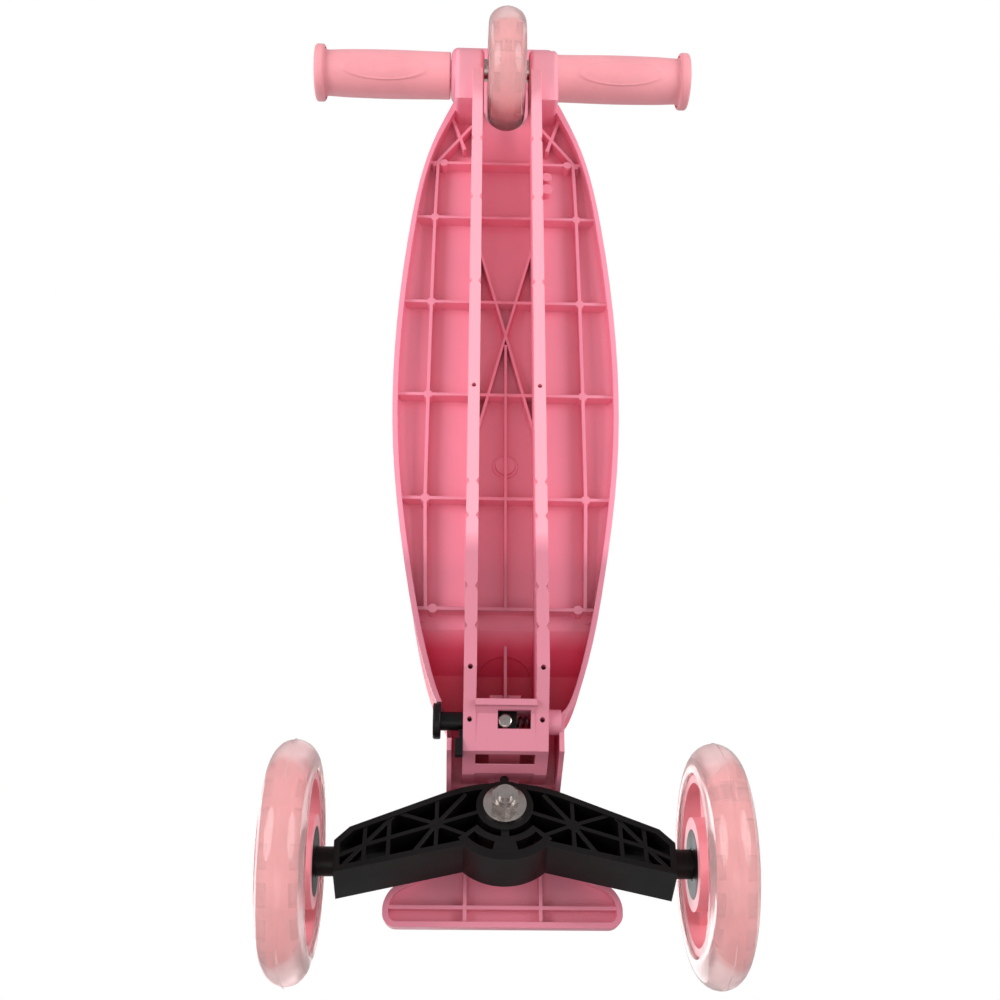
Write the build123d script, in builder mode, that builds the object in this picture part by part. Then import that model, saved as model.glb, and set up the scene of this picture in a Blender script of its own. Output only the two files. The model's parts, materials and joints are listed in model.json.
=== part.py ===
from build123d import *
import os
from math import atan2, cos, degrees, hypot, radians, sin, sqrt, tan

# A child's kick scooter, folded: two wheels on a steering yoke at the front, one wheel at the back.
# Frame: +X forward, +Y to the rider's left, +Z up. The origin is on the ground under the middle
# of the folded scooter. Millimetres.

os.makedirs("parts", exist_ok=True)

# ---- driving dimensions ------------------------------------------------------------------------
wheelbase = 500.0
track = 212.0                 # between the middles of the two front wheels
front_wheel_r = 60.0
rear_wheel_r = 40.0
wheel_width = 24.0
tyre_depth = 16.0             # from the tread down to the front wheel's rim
rear_tyre_depth = 12.0
hub_r = 23.0
rear_hub_r = 16.0

deck_width = 130.0
neck_width = 60.0
tail_width = 0.523 * deck_width
deck_top = 62.0               # standing height
skirt_depth = 16.0
floor_thickness = 4.0
wall = 3.0                    # moulded walls
rib = 2.0                     # thin ribs under the deck
rib_depth = 7.5
deck_round = 7.5              # rounding of the tray's long edges
rail_spacing = 37.2           # between the two keels' middles
rail_width = 6.6
rail_bottom = 28.0            # ground clearance under the keels

kingpin_tilt = 22.0           # degrees, top end forward
axle_ahead = 25.5             # axle ahead of the kingpin, along the yoke
axle_rise = 12.5              # axle above the yoke's open side
yoke_depth = 25.0
yoke_reach = 84.0             # half length of the yoke across the scooter
yoke_wall = 3.0
nose_rise = 37.0              # nose top above the foot of the kingpin
nose_length = 28.0            # nose ahead of the front axle
nose_width = 123.0

fold_setback = 86.0           # fold hinge behind the front axle
seat_gap = 14.0               # fold hinge above the inclined seat of the stem foot
lean = 10.0                   # degrees that the raised stem leans back
stem_offset = 20.0            # stem axis beyond the fold hinge
bar_reach = 480.0             # fold hinge to the handlebar, stem folded and pushed in
bar_length = 269.0
upper_tube_r = 14.0
tube_wall = 1.5
lower_tube_r = upper_tube_r + tube_wall + 1.5
bar_r = 11.0
grip_r = 16.5
flange_r = 20.0

axle_r = 4.0
nut_h = 8.0                   # locking nuts and bolt heads of the 8 mm axles
nut_flats = 13.0
head_h = 5.3
lock_travel = 9.0

# ---- clearances --------------------------------------------------------------------------------
running = 0.05                # radial, pins and tubes that turn or slide
seated = 0.02                 # radial, pieces pressed together
side_gap = 0.5                # beside parts that turn
tyre_gap = 4.5                # brake over the rear tyre

# ---- places worked out from them ---------------------------------------------------------------
overall_length = front_wheel_r + fold_setback + bar_reach + flange_r
front_x = overall_length / 2 - front_wheel_r
rear_x = front_x - wheelbase

kp_sin = sin(radians(kingpin_tilt))
kp_cos = cos(radians(kingpin_tilt))
kingpin_x = front_x - axle_ahead * kp_cos - axle_rise * kp_sin
kingpin_z = front_wheel_r + axle_ahead * kp_sin - axle_rise * kp_cos
yoke_plane = Plane(origin=(kingpin_x, 0, kingpin_z), x_dir=(kp_cos, 0, -kp_sin), z_dir=(kp_sin, 0, kp_cos))

nose_top = kingpin_z + nose_rise
fold_x = front_x - fold_setback
fold_z = nose_top + 1.0
brake_t = 3.0
brake_r = rear_wheel_r + tyre_gap
stem_z = max(fold_z + stem_offset, rear_wheel_r + brake_r + brake_t + upper_tube_r + 4.0)
bar_x = fold_x - bar_reach

rim_z = deck_top - skirt_depth
floor_z = deck_top - floor_thickness        # underside of the tray's floor
tail_x = rear_x + 22.0
neck_x = front_x - 62.0
rail_y = rail_spacing / 2
slope = tan(radians(lean))


def seat_z(x):
    """Height of the stem foot's inclined seat."""
    return fold_z - seat_gap / cos(radians(lean)) + (x - fold_x) * slope


def write(part, name):
    part.part.label = name
    export_step(part.part, "parts/" + name + ".step")


def side(y=0.0):
    """Sketch plane across Y, with sketch x and y along the scooter's X and Z."""
    return Plane(origin=(0, y, 0), x_dir=(1, 0, 0), z_dir=(0, -1, 0))


def outline(points, plane):
    """A face through straight-sided points."""
    with BuildSketch(plane) as face:
        with BuildLine():
            Polyline(*points, close=True)
        make_face()
    return face.sketch


def strip(start, stop, width):
    """A straight bar of a flat sketch, from one point to another."""
    dx, dy = stop[0] - start[0], stop[1] - start[1]
    middle = Location(((start[0] + stop[0]) / 2, (start[1] + stop[1]) / 2, 0),
                      (0, 0, degrees(atan2(dy, dx))))
    with Locations(middle):
        Rectangle(hypot(dx, dy) + 0.5, width)


def across(points, y, width, mode=Mode.ADD):
    """A prism along Y with its middle at y, from X-Z points."""
    extrude(outline(points, side(y)), amount=width / 2, both=True, mode=mode)


def box_between(low, high, mode=Mode.ADD):
    """A block between two corners."""
    size = [b - a for a, b in zip(low, high)]
    middle = [(a + b) / 2 for a, b in zip(low, high)]
    with Locations(tuple(middle)):
        Box(*size, mode=mode)


def rod(x, z, r, y0, y1, mode=Mode.ADD):
    """A cylinder along Y."""
    with Locations(Location((x, (y0 + y1) / 2, z), (90, 0, 0))):
        Cylinder(r, abs(y1 - y0), mode=mode)


def tube_x(z, r, x0, x1, mode=Mode.ADD):
    """A cylinder along X, on the middle plane."""
    with Locations(Location(((x0 + x1) / 2, 0, z), (0, 90, 0))):
        Cylinder(r, abs(x1 - x0), mode=mode)


def hex_rod(x, z, flats, y0, y1):
    """A hexagonal bar along Y."""
    with BuildSketch(Plane(origin=(x, y0, z), x_dir=(1, 0, 0), z_dir=(0, 1, 0))) as face:
        RegularPolygon(flats / 2, 6, major_radius=False)
    extrude(face.sketch, amount=y1 - y0)


def wheel_plane(x, y, r):
    """Sketch plane through the axle, with sketch x downwards from it and y across the scooter."""
    return Plane(origin=(x, y, r), x_dir=(0, 0, -1), z_dir=(1, 0, 0))


# ---- deck moulding -----------------------------------------------------------------------------
deck_shape = ((0.0, tail_width / deck_width), (0.0865, 0.728), (0.238, 0.905), (0.447, 1.0), (0.635, 0.963),
              (0.81, 0.802), (0.909, 0.662), (0.969, 0.514))   # along the tray, half width over its largest
tray_length = neck_x - tail_x
tray_front = front_x - 47.0
nose_rear = front_x - 38.0


def tray_outline(inset, front):
    """The tray's plan, drawn in by inset, running forward into the neck."""
    half = [(tail_x + t * tray_length, w * deck_width / 2 - inset) for t, w in deck_shape]
    half[0] = (tail_x + inset, tail_width / 2 - inset)
    neck = neck_width / 2 - inset
    half.append((neck_x, neck))
    front -= inset
    with BuildSketch(Plane.XY) as face:
        with BuildLine():
            edge = Spline(*half, tangents=[(1, 0.42), (1, 0)])
            Line(edge @ 1, (front, neck))
            Line((front, neck), (front, 0))
            Line((tail_x + inset, 0), edge @ 0)
            mirror(about=Plane.XZ)
        make_face()
    return face.sketch


def nose_outline(inset):
    """The nose's plan: the neck flaring into a wide rounded bumper."""
    half = nose_width / 2
    front = front_x + nose_length
    with BuildSketch(Plane.XY) as face:
        with BuildLine():
            Line((nose_rear, 0), (nose_rear, neck_width / 2))
            Line((nose_rear, neck_width / 2), (front_x - 24, neck_width / 2))
            ThreePointArc((front_x - 24, neck_width / 2), (front_x - 5, 36.5), (front_x + 5, half - 11))
            ThreePointArc((front_x + 5, half - 11), (front_x + 10, half - 3.5), (front_x + 18, half))
            Line((front_x + 18, half), (front - 7, half))
            ThreePointArc((front - 7, half), (front - 2, half - 2), (front, half - 7))
            Line((front, half - 7), (front, 0))
            mirror(about=Plane.XZ)
        make_face()
        if inset:
            offset(amount=-inset, kind=Kind.INTERSECTION)
    return face.sketch


skin = 3.5                                  # top skin of the neck and nose
seat_rear = fold_x - 17.0
seat_front = nose_rear - 5.0
ramp_foot = fold_x - 39.0
neck_outer = [(ramp_foot, rim_z), (ramp_foot, deck_top), (seat_rear, seat_z(seat_rear)),
              (seat_front, seat_z(seat_front)), (seat_front + 5, nose_top), (front_x - 2, nose_top),
              (front_x - 2, nose_top - 7), (front_x - 36.5, nose_top - 7), (tray_front, deck_top),
              (tray_front, rim_z + 5), (tray_front - 9, rim_z)]
neck_inner = [(ramp_foot - 1, rim_z - 20), (ramp_foot - 1, deck_top - floor_thickness),
              (ramp_foot + 3, deck_top - floor_thickness), (seat_rear + 1.5, seat_z(seat_rear) - skin),
              (seat_front - 0.5, seat_z(seat_front) - skin), (seat_front + 3.5, nose_top - skin),
              (front_x + 20, nose_top - skin), (front_x + 20, rim_z - 20)]
neck_inside = neck_width - 2 * 2.5
rail_top = [(tray_front + 1.5, seat_z(tray_front + 1.5) - 2), (seat_rear + 1, seat_z(seat_rear + 1) - 2),
            (ramp_foot + 3, deck_top - 2)]
rail_side = [(rear_x + 30, rail_bottom), (front_x - 92, rail_bottom), (front_x - 71, rail_bottom + 11.5),
             (front_x - 51, rail_bottom + 19), (tray_front + 1.5, rail_bottom + 34)] + rail_top
rail_side += [(rear_x + 30, deck_top - 2)]

# fold block under the neck, which holds the lock
block_rear = front_x - 77.0
block_front = tray_front + 1.0
lock_x = front_x - 69.0
lock_z = 48.8
lock_shaft_r = 4.8
knob_r = 9.2
knob_in = 33.3                # knob's inner face, at rest
screw_y = 0.4
rail_inside = rail_spacing - rail_width

# ears of the rear fork
ear_inner = wheel_width / 2 + 2.5
ear_outer = 33.0
ear_r = 13.0
ear_round = 3.0
well_r = rear_wheel_r + tyre_gap
arch_x = rear_x + 68.0                      # front of the arch between the keels
arch_z = 42.0
nut_room_r = 8.3



def along(share):
    """A place along the deck, from 0 at the rear axle to 1 at the front axle."""
    return rear_x + share * wheelbase


# cross ribs, as (place along the deck, outer rib's half spacing over the deck's half width)
cross_ribs = ((0.135, 0.66), (0.220, 0.675), (0.345, 0.685), (0.473, 0.69), (0.606, 0.69), (0.737, 0.66))
outer_rib = [(along(share), half * deck_width / 2) for share, half in cross_ribs]
end_boss_y = 0.60 * deck_width / 2          # bosses on the first and last cross ribs
boss_dot_r = 2.6
notches = (0.132, 0.222, 0.345, 0.606, 0.647, 0.728, 0.772, 0.841)   # waists of the keels, along the deck
notch_xs = [along(share) for share in notches]
brace = (0.247, 0.391, 0.540)               # crossed ribs between the keels: start, crossing and end
tail_ribs = (((0.061, 34.8), (0.113, 26.1)), ((0.075, 21.8), (0.140, 45.5)))
gate = 0.559                                # moulding gate on the middle rib
stud_y = 26.0
rib_fine = 1.6
oval_middle = 0.802
oval_half = 11.3
oval_depth = 1.0
nose_rib_depth = 5.5
notch_depth = 1.4
notch_half = 2.6
notch_height = 6.0

lock_spring_r = 3.0
head_seat = 36.5                            # kingpin head above the yoke's open side
tongue_reach = 37.0
tongue_low = 8.0
tongue_high = 20.0
tongue_width = 12.0
tongue_shell = 1.2
fold_ear = 6.4                # ears of the fold hinge: width, radius and distance from the middle
fold_ear_r = 13.0
fold_ear_y = 23.8
tongue_sweep = sqrt(tongue_reach ** 2 + tongue_high ** 2) + 1.0

lug_rise = nose_rise - 12.0                 # height of the steering lug
yoke_room_rear = -18.5                      # how far back the turning yoke needs room
yoke_gap = 1.5                              # yoke's top to the nose boss
boss_r = 20.5
pocket_in = 20.5                            # annular pocket in the yoke for the lug and its springs
pocket_out = 27.5
pocket_half = 46.0                          # degrees each side
lug_in = pocket_in + side_gap
lug_out = pocket_out - 1.1
lug_half = 5.0
lug_foot = 9.0
bush_r = 7.0
brake_x = rear_x + well_r + 2.5
brake_z = deck_top + 6.0
brake_pin_r = 2.0
brake_barrel_r = 4.0
brake_half = 12.0

def long_edges(part):
    """The long edges round a part's top face."""
    return part.faces().sort_by(Axis.Z)[-1].outer_wire().edges().filter_by(Axis.Y, reverse=True)


with BuildPart() as ear:
    with BuildSketch(side()):
        with BuildLine():
            Polyline((tail_x + 8, deck_top - 3), (rear_x + 3, rear_wheel_r + ear_r - 0.5))
            ThreePointArc((rear_x + 3, rear_wheel_r + ear_r - 0.5), (rear_x - ear_r, rear_wheel_r),
                          (rear_x + 3, rear_wheel_r - ear_r + 0.5))
            Polyline((rear_x + 3, rear_wheel_r - ear_r + 0.5), (tail_x + 8, rail_bottom + 5),
                     (tail_x + 8, deck_top - 3))
        make_face()
    extrude(amount=(ear_outer - ear_inner) / 2, both=True)
    fillet(ear.edges().filter_by(Axis.Y, reverse=True), ear_round)

with BuildPart() as tray_room:
    extrude(tray_outline(wall, tray_front).moved(Location((0, 0, rim_z - 2))),
            amount=skirt_depth - floor_thickness + 2)
    fillet(long_edges(tray_room), deck_round - wall)

with BuildPart() as ramp:
    extrude(tray_outline(0, tray_front).moved(Location((0, 0, rim_z))), amount=nose_rise)
    across(neck_outer, 0, deck_width, mode=Mode.INTERSECT)

with BuildPart() as ramp_room:
    extrude(tray_outline(wall, tray_front).moved(Location((0, 0, rim_z - 2))), amount=nose_rise)
    across(neck_inner, 0, deck_width, mode=Mode.INTERSECT)

with BuildPart() as oval:
    with BuildSketch(Plane.XY.offset(floor_z - 2)):
        with Locations((along(oval_middle), 0)):
            Ellipse(oval_half, rail_inside / 2 - 0.6)
    extrude(amount=60)
    across([(x, z + (oval_depth if z > rim_z else 0)) for x, z in neck_inner], 0, neck_inside,
           mode=Mode.INTERSECT)

with BuildPart() as deck:
    extrude(tray_outline(0, tray_front).moved(Location((0, 0, rim_z))), amount=skirt_depth)
    fillet(long_edges(deck), deck_round)
    across(neck_outer, 0, neck_width)
    add(ramp.part)
    extrude(nose_outline(0).moved(Location((0, 0, nose_top - 10))), amount=10)
    add(tray_room.part, mode=Mode.SUBTRACT)
    extrude(nose_outline(wall).moved(Location((0, 0, nose_top - 10))), amount=10 - skin, mode=Mode.SUBTRACT)
    across(neck_inner, 0, neck_inside, mode=Mode.SUBTRACT)
    add(ramp_room.part, mode=Mode.SUBTRACT)

    # keels, with waisted pads along their feet
    for y in (rail_y, -rail_y):
        across(rail_side, y, rail_width)
        for x in notch_xs:
            for edge, inward in ((y - rail_width / 2, 1), (y + rail_width / 2, -1)):
                with BuildSketch(Plane.XY.offset(rail_bottom - 1)):
                    with BuildLine():
                        Polyline((x - notch_half, edge - inward), (x - notch_half, edge),
                                 (x, edge + inward * notch_depth), (x + notch_half, edge),
                                 (x + notch_half, edge - inward), close=True)
                    make_face()
                extrude(amount=notch_height + 1, mode=Mode.SUBTRACT)

    # ribs under the tray
    with BuildSketch(Plane.XY.offset(floor_z - rib_depth)):
        for x, y in outer_rib:
            strip((x, -deck_width / 2), (x, deck_width / 2), rib)
        for sign in (1, -1):
            for (x0, y0), (x1, y1) in zip(outer_rib, outer_rib[1:]):
                strip((x0, sign * y0), (x1, sign * y1), rib)
            for start, stop in tail_ribs:
                strip((along(start[0]), sign * start[1]), (along(stop[0]), sign * stop[1]), rib)
            with Locations(*[(x, sign * y) for x, y in outer_rib[1:-1]],
                           (outer_rib[0][0], sign * end_boss_y), (outer_rib[-1][0], sign * end_boss_y)):
                Circle(boss_dot_r)
            strip((along(brace[0]), sign * rail_y), (along(brace[1]), 0), rib_fine)
            strip((along(brace[1]), 0), (along(brace[2]), -sign * rail_y), rib_fine)
        strip((along(0.405), 0), (outer_rib[-1][0], 0), rib_fine)
        add(tray_outline(wall, tray_front), mode=Mode.INTERSECT)
    extrude(amount=rib_depth + 1)

    # moulding gate and two studs
    with Locations((along(gate), 0, floor_z)):
        Cylinder(7.3, 1.2)
        Cylinder(5.6, 5.0)
    for share, r in ((0.151, 3.3), (0.170, 3.8)):
        with Locations((along(share), -stud_y, floor_z - 2.5)):
            Cylinder(r, 6.0)
    # oval recess in the ramp's underside, and the rib across it
    add(oval.part, mode=Mode.SUBTRACT)
    across([(along(0.779), floor_z - rib_depth), (along(0.779), deck_top + 2),
            (seat_rear + 2, seat_z(seat_rear + 2) - 2), (block_rear + 1, seat_z(block_rear + 1) - 2),
            (block_rear + 1, floor_z - rib_depth)], 0, rib_fine)

    # ribs under the nose
    nose_floor = nose_top - skin
    with BuildSketch(Plane.XY.offset(nose_floor - nose_rib_depth)):
        strip((front_x + 18, -nose_width / 2), (front_x + 18, nose_width / 2), rib)
        for sign in (1, -1):
            strip((front_x, sign * 19.5), (front_x + nose_length, sign * 19.5), rib)
        add(nose_outline(wall - 1), mode=Mode.INTERSECT)
    extrude(amount=nose_rib_depth + 1)

    # fold block: floor, front and back between the keels
    across([(block_rear, rail_bottom + 6), (front_x - 71, rail_bottom + 12),
            (block_front, rail_bottom + 20.5), (block_front, rail_bottom + 23),
            (front_x - 71, rail_bottom + 14.5), (block_rear, rail_bottom + 8.5)], 0, rail_inside + 1)
    across([(block_front - 3, rail_bottom + 19), (block_front, rail_bottom + 20.5),
            (block_front, seat_z(block_front) - 2), (block_front - 3, seat_z(block_front) - 2)],
           0, rail_inside + 1)
    across([(block_rear, rail_bottom + 6), (block_rear + 3, rail_bottom + 7.5),
            (block_rear + 3, seat_z(block_rear) - 2), (block_rear, seat_z(block_rear) - 2)],
           0, rail_inside + 1)

    # kingpin boss
    with BuildSketch(yoke_plane.offset(yoke_depth + yoke_gap)):
        Circle(boss_r)
    extrude(amount=11)
    box_between((tray_front + 2, -70, nose_top), (front_x + 60, 70, nose_top + 30), mode=Mode.SUBTRACT)

    # ears of the fold hinge
    for y in (fold_ear_y, -fold_ear_y):
        rod(fold_x, fold_z, fold_ear_r, y - fold_ear / 2, y + fold_ear / 2)
        across([(fold_x - fold_ear_r, fold_z), (fold_x - fold_ear_r, seat_z(fold_x - fold_ear_r) - 2),
                (fold_x + fold_ear_r, seat_z(fold_x + fold_ear_r) - 2), (fold_x + fold_ear_r, fold_z)],
               y, fold_ear)

    # rear fork ears, and the smooth arch in front of the rear wheel
    box_between((rear_x - rear_wheel_r - 10, -ear_inner, 10), (rear_x + well_r - 8, ear_inner, 90),
                mode=Mode.SUBTRACT)
    box_between((rear_x - well_r - 10, -ear_outer, -20), (rear_x + 20, ear_outer, 140), mode=Mode.SUBTRACT)
    box_between((rear_x, -ear_outer, deck_top), (tail_x + 40, ear_outer, 140), mode=Mode.SUBTRACT)
    across([(rear_x + 22, arch_z), (rear_x + 22, deck_top), (arch_x, deck_top), (arch_x, floor_z),
            (arch_x - 12, floor_z - 5), (arch_x - 26, arch_z + 4), (arch_x - 36, arch_z)],
           0, rail_inside + 1)
    for sign in (1, -1):
        add(ear.part.moved(Location((0, sign * (ear_inner + ear_outer) / 2, 0))))
        across([(rear_x - 4, rail_bottom + 8), (rear_x + 8, rail_bottom + 1), (rear_x + 16, rail_bottom),
                (rear_x + 32, rail_bottom), (rear_x + 32, deck_top - 2), (rear_x + 4, deck_top - 12)],
               sign * rail_y, rail_width)
    with BuildSketch(wheel_plane(rear_x, 0, rear_wheel_r)):
        with BuildLine():
            ThreePointArc((well_r - 15, -ear_inner), (well_r, 0), (well_r - 15, ear_inner))
            Polyline((well_r - 15, ear_inner), (0, ear_inner), (0, -ear_inner), (well_r - 15, -ear_inner))
        make_face()
    revolve(axis=Axis((rear_x, 0, rear_wheel_r), (0, 1, 0)), mode=Mode.SUBTRACT)
    for sign, depth in ((1, head_h + 0.5), (-1, nut_h + 2.0)):
        rod(rear_x, rear_wheel_r, nut_room_r, sign * (ear_outer - depth), sign * (ear_outer + 10),
            mode=Mode.SUBTRACT)

    # lugs of the brake hinge
    for sign in (1, -1):
        inside, outside = sign * (brake_half + 0.3), sign * (brake_half + 4.1)
        rod(brake_x, brake_z, brake_barrel_r + 0.5, inside, outside)
        box_between((brake_x - brake_barrel_r - 0.5, min(inside, outside), deck_top - 2),
                    (brake_x + brake_barrel_r + 0.5, max(inside, outside), brake_z))

    # spring housing of the lock, outside the right keel
    rod(lock_x, lock_z, 6.5, -rail_y - 2, -neck_inside / 2 - 1)

    # room for the yoke, then the steering lug that hangs into it
    with BuildSketch(yoke_plane.offset(-60)):
        with Locations((yoke_room_rear + 60, 0)):
            Rectangle(120, 220)
    extrude(amount=60 + yoke_depth + yoke_gap, mode=Mode.SUBTRACT)
    with BuildSketch(yoke_plane.offset(lug_foot)):
        with Locations(((lug_in + lug_out) / 2, 0)):
            Rectangle(lug_out - lug_in, 2 * lug_half)
    extrude(amount=lug_rise)
    with BuildSketch(yoke_plane.offset(yoke_depth + yoke_gap + 1)):
        with Locations(((lug_out + boss_r - 4) / 2, 0)):
            Rectangle(lug_out - boss_r + 4, 2 * lug_half)
    extrude(amount=lug_rise - yoke_depth - yoke_gap - 1 + lug_foot)

    # closed pocket for the tongue of the stem foot
    with BuildSketch(side()):
        with Locations((fold_x, fold_z)):
            Circle(tongue_sweep + tongue_shell)
        with Locations((fold_x - 48, fold_z), (fold_x, fold_z + 85)):
            Rectangle(100, 200, mode=Mode.SUBTRACT)
    extrude(amount=tongue_width / 2 + 1 + tongue_shell, both=True)
    with BuildSketch(side()):
        with Locations((fold_x, fold_z)):
            Circle(tongue_sweep)
        with Locations((fold_x - 45, fold_z)):
            Rectangle(100, 200, mode=Mode.SUBTRACT)
    extrude(amount=tongue_width / 2 + 1, both=True, mode=Mode.SUBTRACT)

    # bores
    with BuildSketch(yoke_plane.offset(yoke_depth)):
        Circle(axle_r + 0.1)
    extrude(amount=30, mode=Mode.SUBTRACT)
    with BuildSketch(yoke_plane.offset(head_seat)):
        Circle(9.5)
    extrude(amount=20, mode=Mode.SUBTRACT)
    rod(fold_x, fold_z, axle_r + running, -neck_width, neck_width, mode=Mode.SUBTRACT)
    rod(rear_x, rear_wheel_r, axle_r + running, -deck_width, deck_width, mode=Mode.SUBTRACT)
    rod(brake_x, brake_z, brake_pin_r + seated, -deck_width, deck_width, mode=Mode.SUBTRACT)
    rod(lock_x, lock_z, lock_shaft_r + 0.1, 0, neck_width, mode=Mode.SUBTRACT)
    rod(lock_x, lock_z, knob_r + 0.6, knob_in - lock_travel - 0.8, neck_width, mode=Mode.SUBTRACT)
    rod(lock_x, lock_z, lock_spring_r + 0.6, 0, -neck_inside / 2 + 1.5, mode=Mode.SUBTRACT)
    box_between((front_x - 72.5, -12.7, rail_bottom), (front_x - 63.7, 4.2, lock_z - 1.5),
                mode=Mode.SUBTRACT)
    for x in (front_x - 257, front_x - 92, front_x - 68):
        for y in (rail_y, -rail_y):
            with Locations((x, y, rail_bottom + 4)):
                Cylinder(1.3, 28 if x > front_x - 80 else 12, mode=Mode.SUBTRACT)
write(deck, "deck")

with BuildPart() as deck_pad:
    with BuildSketch(Plane.XY.offset(deck_top)):
        add(tray_outline(deck_round + 1, tray_front))
        with Locations((ramp_foot + 95, 0)):
            Rectangle(200, deck_width, mode=Mode.SUBTRACT)
        with Locations((brake_x - 30, 0)):
            Rectangle(100, deck_width, mode=Mode.SUBTRACT)
    extrude(amount=1.5)
write(deck_pad, "deck_pad")


# ---- steering yoke -----------------------------------------------------------------------------
def on_yoke(shape, height):
    """Moves a flat shape from the X-Y plane onto the yoke's plane, raised by height."""
    return shape.moved(yoke_plane.offset(height).location)


yoke_rear = -13.4
yoke_bulge = pocket_out + 4.0
yoke_bend_y = 21.0
yoke_bend_x = sqrt(yoke_bulge ** 2 - yoke_bend_y ** 2)


def yoke_outline(inset):
    """The yoke's plan: a shallow V with a round bulge ahead of the kingpin."""
    end = yoke_reach
    with BuildSketch(Plane.XY) as face:
        with BuildLine():
            ThreePointArc((-7, -31), (yoke_rear, 0), (-7, 31))
            Polyline((-7, 31), (axle_ahead - 12, end - 6.5), (axle_ahead - 4.2, end + 0.7),
                     (axle_ahead + 13.5, end), (yoke_bend_x, yoke_bend_y))
            ThreePointArc((yoke_bend_x, yoke_bend_y), (yoke_bulge, 0), (yoke_bend_x, -yoke_bend_y))
            Polyline((-7, -31), (axle_ahead - 12, -end + 6.5), (axle_ahead - 4.2, -end - 0.7),
                     (axle_ahead + 13.5, -end), (yoke_bend_x, -yoke_bend_y))
        make_face()
        if inset:
            offset(amount=-inset, kind=Kind.INTERSECTION)
    return face.sketch


def sector(r0, r1, a0, a1):
    """Part of a ring about the kingpin, between two angles from straight ahead."""
    with BuildSketch(Plane.XY) as face:
        with BuildLine():
            outer = CenterArc((0, 0), r1, a0, a1 - a0)
            inner = CenterArc((0, 0), r0, a0, a1 - a0)
            Line(outer @ 0, inner @ 0)
            Line(outer @ 1, inner @ 1)
        make_face()
    return face.sketch


def disc(r, hole=0.0):
    """A flat disc or washer."""
    with BuildSketch(Plane.XY) as face:
        Circle(r)
        if hole:
            Circle(hole, mode=Mode.SUBTRACT)
    return face.sketch


def hexagon(flats, hole=0.0):
    with BuildSketch(Plane.XY) as face:
        RegularPolygon(flats / 2, 6, major_radius=False)
        if hole:
            Circle(hole, mode=Mode.SUBTRACT)
    return face.sketch


# ribs under the yoke, as straight runs on its right half, mirrored
star = (10.9, 34.3)
node_a = (19.2, 58.0)
node_b = (23.3, 69.8)
yoke_runs = ((star, (-6.5, 34.4)), (star, (26.7, 34.6)), (star, (4.5, 54.4)), (star, node_a),
             (star, (28.4, 46.3)),
             (star, (-7.0, 20.0)), (star, (18.0, 17.0)), (star, (3.0, 12.0)), (node_a, node_b), (node_a, (3.0, 58.0)),
             (node_a, (33.0, 58.0)), (node_b, (9.0, 69.8)), (node_b, (36.5, 69.8)), ((36.5, 81.0), (2.0, 52.5)),
             (node_b, (30.0, 83.0)))

with BuildPart() as yoke:
    extrude(on_yoke(yoke_outline(0), 0), amount=yoke_depth)
    extrude(on_yoke(yoke_outline(yoke_wall), 0), amount=yoke_depth - yoke_wall, mode=Mode.SUBTRACT)
    with BuildSketch(Plane.XY) as yoke_ribs:
        for sign in (1, -1):
            for (x0, y0), (x1, y1) in yoke_runs:
                strip((x0, sign * y0), (x1, sign * y1), rib)
            with Locations((star[0], sign * star[1])):
                Circle(3.0)
        with Locations((20, 0)):
            Rectangle(30, rib + 2)
        add(yoke_outline(yoke_wall - 0.5), mode=Mode.INTERSECT)
    extrude(on_yoke(yoke_ribs.sketch, 0.8), amount=yoke_depth - yoke_wall)
    extrude(on_yoke(disc(14.5), 0), amount=yoke_depth)
    for sign in (1, -1):
        rod(front_x, front_wheel_r, 7.25, sign * (yoke_reach - 26), sign * (track / 2 - wheel_width / 2))
    extrude(on_yoke(sector(pocket_in - 2.5, pocket_out + 2.5, -pocket_half - 5, pocket_half + 5), 0.4),
            amount=yoke_depth - yoke_wall)
    with Locations(yoke_plane * Location((yoke_rear - 1.9, 0, 6))):
        Cylinder(2.4, 12)
    extrude(on_yoke(sector(pocket_in, pocket_out, -pocket_half, pocket_half), 3), amount=yoke_depth,
            mode=Mode.SUBTRACT)
    for a0 in (14, -pocket_half):
        extrude(on_yoke(sector(pocket_in + 1, pocket_out - 1, a0, a0 + pocket_half - 14), -1), amount=5,
                mode=Mode.SUBTRACT)
    extrude(on_yoke(disc(bush_r + seated), -1), amount=yoke_depth + 2, mode=Mode.SUBTRACT)
    rod(front_x, front_wheel_r, axle_r + running, -track / 2, -yoke_reach + 28, mode=Mode.SUBTRACT)
    rod(front_x, front_wheel_r, axle_r + running, track / 2, yoke_reach - 28, mode=Mode.SUBTRACT)
write(yoke, "yoke")



def stack(name, *layers):
    """A piece turned about the kingpin: each layer is a flat shape, its height and its thickness."""
    with BuildPart() as piece:
        for shape, height, thickness in layers:
            extrude(on_yoke(shape, height), amount=thickness)
    write(piece, name)


washer_t = 1.6
kingpin_end = -0.1 - washer_t - nut_h - 2.0
stack("kingpin_bolt", (disc(axle_r), kingpin_end, head_seat - kingpin_end + 1),
      (hexagon(nut_flats), head_seat, head_h))
stack("kingpin_bush", (disc(bush_r, axle_r + running), 0, yoke_depth))
stack("kingpin_thrust_washer", (disc(12, axle_r + 0.1), yoke_depth + 0.1, yoke_gap - 0.1))
stack("kingpin_washer", (disc(11, axle_r + 0.1), -0.1 - washer_t, washer_t))
stack("kingpin_nut", (hexagon(nut_flats, axle_r + seated), -0.1 - washer_t - nut_h + 2.2, nut_h - 2.2),
      (disc(5.8, axle_r + seated), -0.1 - washer_t - nut_h, 2.4))


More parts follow.
